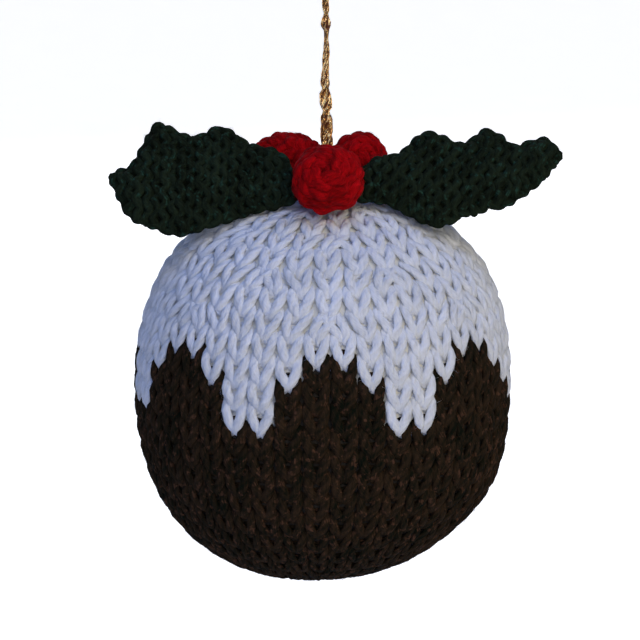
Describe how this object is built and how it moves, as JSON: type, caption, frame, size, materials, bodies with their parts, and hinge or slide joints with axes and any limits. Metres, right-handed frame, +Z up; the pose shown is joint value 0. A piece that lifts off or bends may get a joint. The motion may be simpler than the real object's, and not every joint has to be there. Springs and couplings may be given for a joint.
{
  "type": "knitted christmas pudding ornament",
  "caption": "Stuffed knitted ball in brown wool with a dripping white icing cap, green holly leaves and red berries on top, hung by a thin gold cord.",
  "frame": {"origin": "inside top of the hanging loop, where a hook or twig carries the ornament", "axes": "+Z up, the side with the third berry and the broad faces of the leaves faces -Y, +X runs to the right leaf"},
  "size_m": [0.0836, 0.0699, 0.1261],
  "materials": {
    "brown_wool": "dark brown knitted wool with a tweedy reddish fleck, matte",
    "white_wool": "cool white knitted wool, matte and slightly fluffy",
    "green_wool": "very dark green knitted wool, matte",
    "red_wool": "deep red wound wool, matte",
    "gold_thread": "twisted metallic gold thread, shiny"
  },
  "bodies": {
    "root": {"pudding": "brown_wool", "icing": "white_wool", "leaf_left": "green_wool", "leaf_right": "green_wool", "berry_front": "red_wool", "berry_rear_left": "red_wool", "berry_rear_right": "red_wool", "cord": "gold_thread", "cord_knot": "gold_thread", "cord_loop": "gold_thread"}
  },
  "joints": []
}
